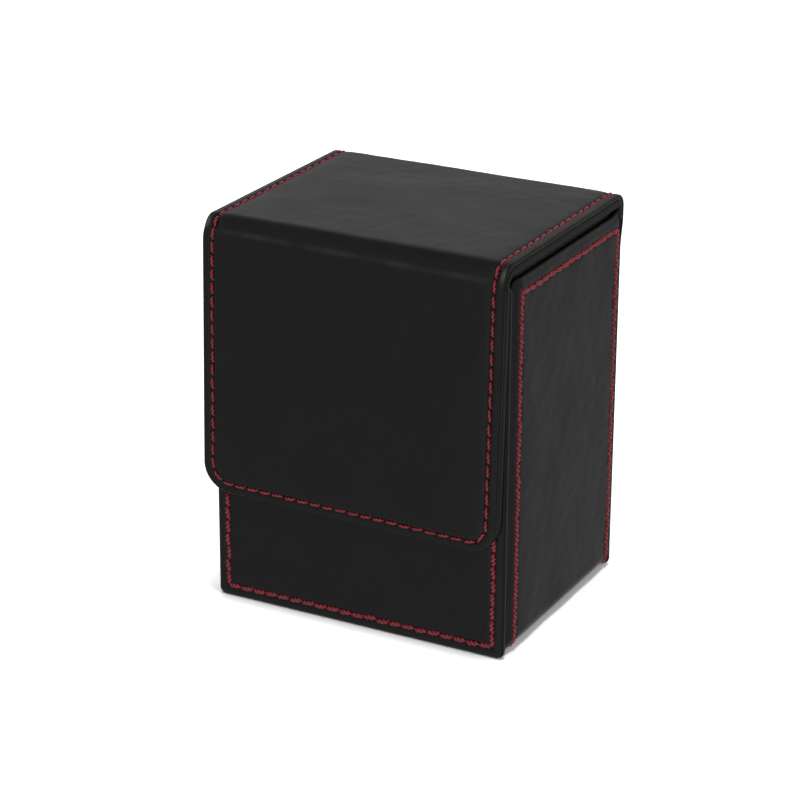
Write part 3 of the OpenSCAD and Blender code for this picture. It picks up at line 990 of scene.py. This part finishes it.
def wrap_front_row(settings):
    """Sewn line of the lid's front half and the flap, with round corners."""
    margin, low = settings.wrap_margin / MM, settings.end_margin / MM
    r = settings.flap_corner / MM - margin
    x = WRAP_W / 2 - margin
    end = wrap_front_strip().length
    line = [(-x, end), (-x, low + r + 1)]
    line += arc((-x + r, low + r), r, 180, 270)
    line += arc((x - r, low + r), r, 270, 360)
    line += [(x, low + r + 1), (x, end)]
    return [Row(line)]


def round_front_bend(v):
    """Place on the front bend: 0 at both of its ends and 1 in its middle."""
    strip = wrap_front_strip()
    start, end = strip.starts[1:3]
    return np.sin(math.pi * np.clip((v - start) / (end - start), 0, 1))


BROW = 0.38
BROW_START, BROW_RISE, BROW_FALL = 2.3, 3.5, 3.2


def bend_brow(v):
    """Height by which the leather stands full where the lid turns into the bend."""
    start, end = wrap_front_strip().starts[1:3]
    up = rise(v, start + BROW_START, BROW_RISE)
    return BROW * up * (1 - rise(v, end - BROW_FALL, BROW_FALL))


SEAM_RISE, LINING_RISE = 0.4, 0.7


def seam_depth(settings, v):
    """Depth of the seam line, which rises where the layers are bent."""
    return settings.seam / MM - SEAM_RISE * round_front_bend(v)


def lining_depth(v):
    """Depth of the wrap's inner face, which is folded nearly sharp in the bend."""
    return WRAP_T - LINING_RISE * round_front_bend(v)


def wrap_rear_rows(settings):
    """Sewn lines of the lid's rear half and the back."""
    margin = settings.wrap_margin / MM
    x = WRAP_W / 2 - margin
    low = wrap_rear_strip().length - settings.front_margin / MM
    return legs([(-x, 0), (-x, low), (x, low), (x, 0)])


def front_rows(settings):
    margin = settings.front_margin / MM
    x = BODY_W / 2 - margin
    top = PANEL_TOP - margin
    return legs([(-x, top), (-x, margin), (x, margin), (x, top)])


SIDE_ROW_TURN = math.radians(62)
SIDE_RISE = 0.8
EAR, EAR_WIDTH, EAR_LENGTH = 1.3, 6.0, 3.0


def side_ears(u, v):
    """Draws the top back corner of each side up towards the hinge."""
    length = side_strip().length
    back = EAR * rise(u, SIDE_D / 2 - EAR_WIDTH, EAR_WIDTH)
    right, left = smooth(1 - v / EAR_LENGTH), smooth(1 - (length - v) / EAR_LENGTH)
    return u, v + back * (left - right)


def side_rows(settings, right):
    """Sewn lines of one side panel, which run round the foot."""
    strip = side_strip()
    front = settings.side_front_margin / MM - SIDE_D / 2
    back = SIDE_D / 2 - settings.side_back_margin / MM
    top = settings.side_top_margin / MM
    low = PANEL_TOP - FOOT_R + SIDE_ROW_TURN * FOOT_R
    if not right:
        top, low = strip.length - top, strip.length - low
    return legs([(front, low), (front, top), (back, top), (back, low)])


# Reaches, in millimetres, of a sewn row's groove, of the crown beside it, of the lip
# along an edge, and of the stretches over which waves and rows fade out.
GROOVE_REACH, CROWN_REACH, HEM = 0.62, 1.7, 0.9
CALM_REACH, WAVE_FADE, ROW_FADE, LIP_START = 15.0, 3.0, 0.8, 0.2
SLOW_WAVE, QUICK_WAVE, QUICK_SHARE = 22.0, 5.0, 0.25


def sewn_relief(settings, dips, crown, seed, swells=0.06, calm=None):
    """Height of sewn leather: a groove, needle holes, a pillow and a crown.

    Calm gives the length at which the waves die down, so that two panels meet there.
    """
    groove, pucker = settings.groove / MM, settings.pucker / MM
    pillow, lip = settings.pillow / MM, settings.lip / MM

    def relief(u, v, edge, sewn):
        inner = crown * (1 - np.exp(-np.maximum(sewn, 0) / CROWN_REACH))
        width = np.maximum(edge - sewn - HEM, 0.5)
        inset = np.clip((edge - HEM) / width, 0, 1)
        outer = pillow * np.sin(math.pi * inset) * (sewn < 0)
        quick = QUICK_SHARE * swell(u, v, QUICK_WAVE, seed + 1)
        waves = swells * (swell(u, v, SLOW_WAVE, seed) + quick)
        if calm is not None:
            waves = waves * smooth(np.abs(v - calm) / CALM_REACH)
        row = groove * bell(sewn, 0, GROOVE_REACH) + pucker * dips(u, v)
        height = inner + outer + waves * smooth(edge / WAVE_FADE) - row
        return height * smooth(edge / ROW_FADE) + lip * (1 - rise(edge, LIP_START, HEM))

    return relief


# ---- Operators -----------------------------------------------------------------------


STEPS = {"band": 1.5, "fine": 0.25, "across": 0.6, "along": 0.6}
# Edges of panels without a row: a plain cut, and a rounded edge with sharp corners.
CUT, BARE = (None, None), (0, None)
# Where the leather's stretch starts and stops at each joint. The front bend's stretch
# stays in front of the tray, so that its lining doesn't press into the tray's rim.
BEND_START = (0.0, BEND_HIGH[1] + 0.8, TOP_Z - WRAP_T)
BEND_END = (0.0, BEND_START[1] - 4.2, BEND_START[2] - 5.6)


def steps_for(face_edge, back_edge, **changed):
    """Steps of a panel's grid, with the radii of the edges of its face and back."""
    return {**STEPS, **changed, "face_edge": face_edge, "back_edge": back_edge}


def wrap_edges(settings, start, end):
    """Edges of a panel of the wrap: its two ends, then its two sewn sides."""
    side = (0, settings.wrap_margin / MM)
    return start, end, side, side


def flap_end(settings):
    return settings.flap_corner / MM, settings.end_margin / MM


def bend_with_flap(piece):
    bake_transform(piece)


def bend_with_lid(piece):
    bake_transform(piece)


class DECKBOX_OT_wrap_covers(bpy.types.Operator):
    """Makes the outer leather of the back, the lid, the bends and the flap"""

    bl_idname = "deckbox.wrap_covers"
    bl_label = "Wrap leather"

    EDGE_FADE = 3.5
    # The ridge of the crease, and the hollow of the bend above it.
    RIDGE, RIDGE_REACH = 0.12, 0.5
    HOLLOW_RISE, HOLLOW_FALL, HOLLOW_END = 0.9, 2.4, 2.0
    # The painted highlight along the crease, patchy, and the painted glints at its ends.
    LINE, LINE_ABOVE, LINE_REACH, LINE_FADE = 0.155, 0.2, 0.55, 3.0
    PATCH, PATCH_MEAN, PATCH_SWING = 9.0, 0.7, 0.4
    SPOT_IN, SPOT_WIDE, SPOT_ABOVE, SPOT_LONG = 0.95, 0.36, 2.0, 1.5
    # The back panel, which narrows and thins below the hinge.
    TAPER, THINNING, WALL = 9.0, 1.5, 0.05
    # The shallow hollow over the hinge, as a share of the front bend's.
    HINGE_DIP = 0.5
    HINGE_BEFORE, HINGE_RISE, HINGE_PAST = 0.6, 1.6, 2.0

    def execute(self, context):
        settings = context.scene.deck_box_leather
        material = finish_for("leatherette")
        self.front(settings, material)
        self.rear(settings, material)
        return {"FINISHED"}

    def front(self, settings, material):
        strip, seam = wrap_front_strip(), settings.seam / MM
        edges = wrap_edges(settings, flap_end(settings), CUT)
        steps = steps_for(settings.layer_edge / MM, settings.seam_edge / MM)
        panel = Panel(strip, WRAP_W, 0.0, strip.length, 0.0, seam, edges, steps)
        panel.back_at = lambda v: seam_depth(settings, v)
        dips = hole_dips(wrap_front_row(settings))
        sewn = sewn_relief(settings, dips, settings.crown / MM, 3, calm=strip.length)
        crease = strip.starts[1] + settings.crease / MM
        end = strip.starts[2] - self.HOLLOW_END - self.HOLLOW_FALL
        dip = settings.bend_dip / MM

        def relief(u, v, edge, inset):
            off = rise(v, crease, self.HOLLOW_RISE) * (1 - rise(v, end, self.HOLLOW_FALL))
            ridge = self.RIDGE * bell(v, crease, self.RIDGE_REACH)
            fold = (ridge - dip * off) * smooth(edge / self.EDGE_FADE)
            return sewn(u, v, edge, inset) + bend_brow(v) + fold

        # Painted highlight: a patchy line along the crease and a painted glint near each side
        # edge, which lighten the leather's colour.
        def worn(u, v):
            line = self.LINE * bell(v, crease + self.LINE_ABOVE, self.LINE_REACH)
            patches = self.PATCH_MEAN + self.PATCH_SWING * swell(u, v, self.PATCH, 5)
            edge = WRAP_W / 2 - np.abs(u)
            painted_glint = bell(edge, self.SPOT_IN, self.SPOT_WIDE)
            painted_glint = painted_glint * bell(v, crease + self.SPOT_ABOVE, self.SPOT_LONG)
            inside = rise(edge, settings.wrap_margin / MM, self.LINE_FADE)
            return line * np.clip(patches, 0, 1) * inside + painted_glint

        panel.relief, panel.worn, panel.warp = relief, worn, flap_turn
        piece = panel.build("wrap_front_cover", material)
        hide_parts("flap_cover", "front_bend", "lid_cover")
        bend_with_flap(piece)

    def rear(self, settings, material):
        strip, seam = wrap_rear_strip(), settings.seam / MM
        edge, back_edge = settings.layer_edge / MM, settings.seam_edge / MM
        foot = (settings.foot_corner / MM, settings.front_margin / MM)
        edges, steps = wrap_edges(settings, CUT, foot), steps_for(edge, back_edge)
        panel = Panel(strip, WRAP_W, 0.0, strip.length, 0.0, seam, edges, steps)
        panel_at = strip.length - PANEL_TOP
        thin_at, thin = panel_at - self.THINNING, max(BACK_T, edge + back_edge + self.WALL)
        narrow = BODY_W / WRAP_W
        panel.wide = lambda v: 1 - (1 - narrow) * rise(v, panel_at, self.TAPER)
        panel.back_at = lambda v: seam + (thin - seam) * rise(v, thin_at, self.THINNING)
        dips = hole_dips(wrap_rear_rows(settings))
        sewn = sewn_relief(settings, dips, settings.crown / MM, 11, calm=0.0)
        start = LID_BOARD_HIGH[1] - LID_MID - self.HINGE_BEFORE
        end = strip.starts[2] + self.HINGE_PAST
        dip = settings.bend_dip / MM * self.HINGE_DIP

        def relief(u, v, edge, inset):
            off = rise(v, start, self.HINGE_RISE) * (1 - rise(v, end, self.HINGE_PAST))
            return sewn(u, v, edge, inset) - dip * off * smooth(edge / self.EDGE_FADE)

        panel.relief = relief
        piece = panel.build("wrap_rear_cover", material)
        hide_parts("rear_hinge", "back_cover")
        bend_with_lid(piece)


class DECKBOX_OT_wrap_linings(bpy.types.Operator):
    """Makes the inner leather of the lid and flap"""

    bl_idname = "deckbox.wrap_linings"
    bl_label = "Wrap linings"

    CROWN, SWELLS = 0.03, 0.03
    # The lining of the hinge: the depth of its inner face, how far its outer face lies
    # outside the seam, how much narrower it is, and how far it reaches below the hinge.
    HINGE_T, HINGE_BACK, HINGE_PLAY, HINGE_OVERLAP = 2.5, 0.3, 0.2, 0.6

    def execute(self, context):
        settings = context.scene.deck_box_leather
        material = finish_for("leatherette_inner")
        edge, back_edge = settings.inner_edge / MM, settings.seam_edge / MM
        seam = settings.seam / MM
        steps = steps_for(edge, back_edge, across=1.0, along=1.0, fine=0.35)
        front = wrap_front_strip()
        edges = wrap_edges(settings, flap_end(settings), CUT)
        panel = Panel(front, WRAP_W, 0.0, front.length, WRAP_T, seam, edges, steps)
        dips = hole_dips(wrap_front_row(settings))
        sewn = sewn_relief(settings, dips, self.CROWN, 21, self.SWELLS, front.length)

        def relief(u, v, edge, inset):
            return sewn(u, v, edge, inset) + lining_depth(v) - WRAP_T

        panel.relief, panel.warp = relief, flap_turn
        panel.back_at = lambda v: seam_depth(settings, v)
        piece = panel.build("wrap_front_lining", material)
        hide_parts("flap_lining", "lid_lining")
        bend_with_flap(piece)

        rear, edges = lid_rear_strip(), wrap_edges(settings, CUT, BARE)
        panel = Panel(rear, WRAP_W, 0.0, rear.length, WRAP_T, seam, edges, steps)
        dips = hole_dips(lid_rows(settings, rear.length))
        panel.relief = sewn_relief(settings, dips, self.CROWN, 23, self.SWELLS, 0.0)
        piece = panel.build("lid_rear_lining", material, "lid")

        rear = wrap_rear_strip()
        ends = BACK_Y - REAR_BEND_R - LID_MID, rear.length - PANEL_TOP + self.HINGE_OVERLAP
        faces = self.HINGE_T, seam - self.HINGE_BACK
        steps.update({"face_edge": 0.5, "back_edge": 0.2})
        panel = Panel(rear, WRAP_W - self.HINGE_PLAY, *ends, *faces, (BARE,) * 4, steps)
        piece = panel.build("wrap_hinge_lining", finish_for("leatherette"))
        bend_with_lid(piece)
        return {"FINISHED"}


class DECKBOX_OT_front_panel(bpy.types.Operator):
    """Makes the leather of the front panel"""

    bl_idname = "deckbox.front_panel"
    bl_label = "Front panel leather"

    CROWN, SWELLS = 0.14, 0.04
    BACK_EDGE, WALL = 1.4, 0.1

    def execute(self, context):
        settings = context.scene.deck_box_leather
        margin, edge = settings.front_margin / MM, settings.front_edge / MM
        foot, top = (settings.foot_corner / MM, margin), (settings.panel_corner / MM, None)
        edges = (foot, top, (0, margin), (0, margin))
        steps = steps_for(edge, min(self.BACK_EDGE, FRONT_T - edge - self.WALL))
        panel = Panel(front_strip(), BODY_W, 0.0, PANEL_TOP, 0.0, FRONT_T, edges, steps)
        dips = hole_dips(front_rows(settings))
        panel.relief = sewn_relief(settings, dips, self.CROWN, 31, self.SWELLS)
        piece = panel.build("front_panel_cover", finish_for("leatherette"), "body")
        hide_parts("front_cover")
        return {"FINISHED"}


class DECKBOX_OT_side_wrap(bpy.types.Operator):
    """Makes the leather that runs down the sides and under the bottom"""

    bl_idname = "deckbox.side_wrap"
    bl_label = "Side leather"

    # The crown as a share of the wrap's, how soon the floor goes flat past the foot, and
    # how the fall towards the front edge steepens.
    CROWN, FLOOR_FADE, SLOPE_POWER = 0.4, 3.0, 1.2

    def execute(self, context):
        settings = context.scene.deck_box_leather
        strip, corner = side_strip(), settings.panel_corner / MM
        margin, slope = settings.side_front_margin / MM, settings.side_slope / MM
        top = (corner, settings.side_top_margin / MM + SIDE_RISE)
        edges = (top, top, (0, margin), (0, settings.side_back_margin / MM))
        steps = steps_for(settings.side_edge / MM, back_edge=0.3)
        ends = -SIDE_RISE, strip.length + SIDE_RISE
        panel = Panel(strip, SIDE_D, *ends, 0.0, SIDE_SEAM, edges, steps)
        panel.warp = side_ears
        dips = hole_dips(side_rows(settings, True) + side_rows(settings, False))
        sewn = sewn_relief(settings, dips, self.CROWN * settings.crown / MM, 41)
        low, high = strip.starts[1], strip.starts[4]

        def relief(u, v, edge, inset):
            under = rise(v, low, self.FLOOR_FADE) * smooth((high - v) / self.FLOOR_FADE)
            height = sewn(u, v, edge, inset)
            height = np.where(height > 0, height * (1 - under), height)
            out = np.clip(1 - (u + SIDE_D / 2) / margin, 0, 1)
            return height - slope * out**self.SLOPE_POWER * (1 - under)

        panel.relief = relief
        piece = panel.build("side_and_floor_cover", finish_for("leatherette"), "body")
        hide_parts("side_wrap")

        steps = steps_for(face_edge=0.5, back_edge=0.4, across=1.5, along=1.5, fine=0.6)
        edges = ((corner, None), (corner, None), BARE, BARE)
        panel = Panel(strip, SIDE_D, *ends, WRAP_T, SIDE_SEAM, edges, steps)
        panel.warp = side_ears
        raw = finish_for("leatherette_raw_edge")
        piece = panel.build("side_and_floor_lining", raw, "body")
        return {"FINISHED"}


class DECKBOX_OT_flap_core(bpy.types.Operator):
    """Makes the core board that turns with the flap"""

    bl_idname = "deckbox.flap_core"
    bl_label = "Flap core board"

    def execute(self, context):
        width = FLAP_BOARD_HIGH[0] - FLAP_BOARD_LOW[0]
        ends = FLAP_BOARD_LOW[2] - FLAP_END, FLAP_BOARD_HIGH[2] - FLAP_END
        faces = FLAP_BOARD_LOW[1] - FLAP_Y, FLAP_BOARD_HIGH[1] - FLAP_Y
        corner = context.scene.deck_box_leather.flap_corner / MM - ends[0]
        edges = ((corner, None), (0.4, None), BARE, BARE)
        steps = steps_for(face_edge=0.1, back_edge=0.1, across=2.0, along=2.0)
        panel = Panel(wrap_front_strip(), width, *ends, *faces, edges, steps, coarse=1)
        panel.warp = flap_turn
        piece = panel.build("flap_core_board", finish_for("board"), "flap")
        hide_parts("flap_board")
        return {"FINISHED"}


class DECKBOX_OT_stitching(bpy.types.Operator):
    """Sews the thread rows of every panel"""

    bl_idname = "deckbox.stitching"
    bl_label = "Stitching"

    LID_END = 1.0
    TIGHT = {"bulk": 1.12}
    INNER = {"bulk": 1.12, "proud": 0.12}
    FULL = {"bulk": 1.95, "loose": 0.6, "proud": 0.4}
    SLACK = {"bulk": 2.0, "loose": 1.0, "proud": 0.46}

    def execute(self, context):
        settings = context.scene.deck_box_leather
        thread = context.scene.deck_box_thread
        material = finish_for("thread")
        front, rear = wrap_front_strip(), wrap_rear_strip()

        sewing = Stitching(thread, thread.seed)
        rows = wrap_front_row(settings)
        sewing.sew(front, rows, lambda v: -bend_brow(v), warp=flap_turn, **self.TIGHT)
        sewing.sew(front, rows, lining_depth, -1.0, warp=flap_turn, **self.INNER)
        piece = sewing.build("wrap_front_thread", material)
        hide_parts("flap_stitching", "lid_stitching")
        bend_with_flap(piece)

        sewing = Stitching(thread, thread.seed + 1)
        rows = wrap_rear_rows(settings)
        sewing.sew(rear, rows, **self.TIGHT)
        piece = sewing.build("wrap_rear_thread", material)
        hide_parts("back_stitching")
        bend_with_lid(piece)

        sewing = Stitching(thread, thread.seed + 7)
        rows = lid_rows(settings, BACK_Y - REAR_BEND_R - LID_MID - self.LID_END)
        sewing.sew(lid_rear_strip(), rows, WRAP_T, -1.0, **self.INNER)
        piece = sewing.build("lid_inner_thread", material, "lid")

        sewing = Stitching(thread, thread.seed + 2)
        sewing.sew(front_strip(), front_rows(settings), **self.FULL)
        piece = sewing.build("front_panel_thread", material, "body")
        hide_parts("front_stitching")

        for name, right in (("left", False), ("right", True)):
            sewing = Stitching(thread, thread.seed + 3 + right)
            rows = side_rows(settings, right)
            sewing.sew(side_strip(), rows, **self.SLACK)
            piece = sewing.build(f"{name}_side_thread", material, "body")
            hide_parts(f"{name}_stitching")
        return {"FINISHED"}


class DECKBOX_OT_card_tray(bpy.types.Operator):
    """Finishes the card tray and its linings"""

    bl_idname = "deckbox.card_tray"
    bl_label = "Card tray"

    def execute(self, context):
        dress_nodes(["card_tray"], "tray")
        walls = ["floor", "front", "back", "left", "right"]
        dress_nodes([f"tray_{wall}_lining" for wall in walls], "lining")
        dress_nodes(["back_facing"], "leatherette", "leatherette_inner")
        return {"FINISHED"}


class DECKBOX_OT_cores(bpy.types.Operator):
    """Finishes the core boards and the magnets"""

    bl_idname = "deckbox.cores"
    bl_label = "Boards and magnets"

    def execute(self, context):
        boards = ["left", "right", "bottom", "front", "back", "lid"]
        dress_nodes([f"{board}_board" for board in boards], "board")
        dress_nodes(["body_magnets", "flap_magnets"], "magnet")
        return {"FINISHED"}


class DECKBOX_OT_stage(bpy.types.Operator):
    """Sets up the floor, the light and the camera"""

    bl_idname = "deckbox.stage"
    bl_label = "Floor, light and camera"

    FLOOR_SIZE = 8.0
    FOCAL = 124.23
    PLACE = (302.4, -580.3, 308.7)
    AZIMUTH, ELEVATION, ROLL = 27.86, 21.52, 0.33
    SENSOR, NEAR, FAR = 36.0, 0.01, 20.0
    FLOOR_DROP = 0.05
    # The even light's changes, and the directions between which each one sets in.
    DARK_ABOVE, DARK_BESIDE, BRIGHT_AHEAD = 0.40, 0.30, 1.1
    ABOVE, BEHIND, BESIDE = (0.62, 0.9), (-0.3, 0.3), (0.0, 0.5)
    AHEAD_START, AHEAD_END = (-0.42, -0.05), (0.15, 0.5)
    KEY_TILT, LAMP_ANGLE = 3, 16
    SIDE_WAY = (0.85, -0.3, 0.42)

    def execute(self, context):
        settings = context.scene.deck_box_stage
        self.floor(settings)
        self.light(settings)
        self.camera()
        return {"FINISHED"}

    def floor(self, settings):
        half = self.FLOOR_SIZE / 2
        mesh = bpy.data.meshes.new("floor")
        mesh.from_pydata(
            [(-half, -half, 0), (half, -half, 0), (half, half, 0), (-half, half, 0)],
            [],
            [(0, 1, 2, 3)],
        )
        mesh.materials.append(floor_finish("floor_paper", tuple(settings.floor)))
        floor = bpy.data.objects.new("floor", mesh)
        floor.location.z = -self.FLOOR_DROP * MM
        floor.visible_glossy = False
        bpy.context.scene.collection.objects.link(floor)

    def light(self, settings):
        scene = bpy.context.scene
        world = bpy.data.worlds.new("even_light")
        world.use_nodes = True
        nodes = Nodes(world.node_tree)
        back = world.node_tree.nodes["Background"]
        back.inputs["Color"].default_value = (1, 1, 1, 1)
        way = nodes.node("ShaderNodeTexCoord", output="Generated")
        across, deep, up = (
            nodes.node("ShaderNodeSeparateXYZ", None, {"Vector": way}, axis)
            for axis in "XYZ"
        )
        above = 1 - self.DARK_ABOVE * nodes.spread(up, *self.ABOVE)
        behind = nodes.spread(deep, *self.BEHIND)
        beside = 1 - self.DARK_BESIDE * nodes.spread(across, *self.BESIDE) * behind
        ahead = nodes.spread(across, *self.AHEAD_START)
        ahead = ahead * (1 - nodes.spread(across, *self.AHEAD_END))
        ahead = 1 + self.BRIGHT_AHEAD * ahead * (1 - behind)
        strength = settings.sky * above * beside * ahead
        nodes.tree.links.new(strength.socket, back.inputs["Strength"])
        scene.world = world
        toward = math.radians(self.AZIMUTH)
        tilt = math.radians(self.KEY_TILT)
        lean = Vector((math.sin(toward), -math.cos(toward), 0)) * math.sin(tilt)
        self.lamp("soft_key", settings.key, lean + Vector((0, 0, math.cos(tilt))))
        self.lamp("soft_side", settings.side, Vector(self.SIDE_WAY))
        scene.view_settings.view_transform = "Standard"

    def lamp(self, name, strength, place):
        """A distant soft light from a place, which doesn't show in reflections."""
        data = bpy.data.lights.new(name, "SUN")
        data.energy = strength
        data.angle = math.radians(self.LAMP_ANGLE)
        lamp = bpy.data.objects.new(name, data)
        lamp.visible_glossy = False
        lamp.rotation_euler = place.to_track_quat("Z", "Y").to_euler()
        bpy.context.scene.collection.objects.link(lamp)

    def camera(self):
        data = bpy.data.cameras.new("camera")
        data.lens = self.FOCAL
        data.sensor_width = self.SENSOR
        data.clip_start, data.clip_end = self.NEAR, self.FAR
        camera = bpy.data.objects.new("camera", data)
        turn = (
            Matrix.Rotation(math.radians(self.AZIMUTH), 4, "Z")
            @ Matrix.Rotation(math.radians(90 - self.ELEVATION), 4, "X")
            @ Matrix.Rotation(math.radians(self.ROLL), 4, "Z")
        )
        place = Vector(self.PLACE) * MM
        camera.matrix_world = Matrix.Translation(place) @ turn
        bpy.context.scene.collection.objects.link(camera)
        bpy.context.scene.camera = camera


OPERATORS = (
    DECKBOX_OT_stage,
    DECKBOX_OT_wrap_covers,
    DECKBOX_OT_wrap_linings,
    DECKBOX_OT_front_panel,
    DECKBOX_OT_side_wrap,
    DECKBOX_OT_flap_core,
    DECKBOX_OT_stitching,
    DECKBOX_OT_card_tray,
    DECKBOX_OT_cores,
)


class DECKBOX_PT_panel(bpy.types.Panel):
    """Lists the pieces of the deck box"""

    bl_idname = "DECKBOX_PT_panel"
    bl_label = "Stitched Deck Box"
    bl_space_type = "VIEW_3D"
    bl_region_type = "UI"
    bl_category = "Deck Box"

    def draw(self, context):
        for operator in OPERATORS:
            self.layout.operator(operator.bl_idname)
        for name in SETTINGS:
            column = self.layout.column()
            group = getattr(context.scene, name)
            for prop in group.__annotations__:
                column.prop(group, prop)


SETTINGS = {
    "deck_box_leather": DECKBOX_PG_leather,
    "deck_box_thread": DECKBOX_PG_thread,
    "deck_box_stage": DECKBOX_PG_stage,
}
CLASSES = (*SETTINGS.values(), *OPERATORS, DECKBOX_PT_panel)


def register():
    for cls in CLASSES:
        bpy.utils.register_class(cls)
    for name, group in SETTINGS.items():
        setattr(bpy.types.Scene, name, PointerProperty(type=group))


def unregister():
    for name in SETTINGS:
        delattr(bpy.types.Scene, name)
    for cls in reversed(CLASSES):
        bpy.utils.unregister_class(cls)


def main():
    register()
    for operator in OPERATORS:
        group, name = operator.bl_idname.split(".")
        getattr(getattr(bpy.ops, group), name)()


if __name__ == "__main__":
    main()
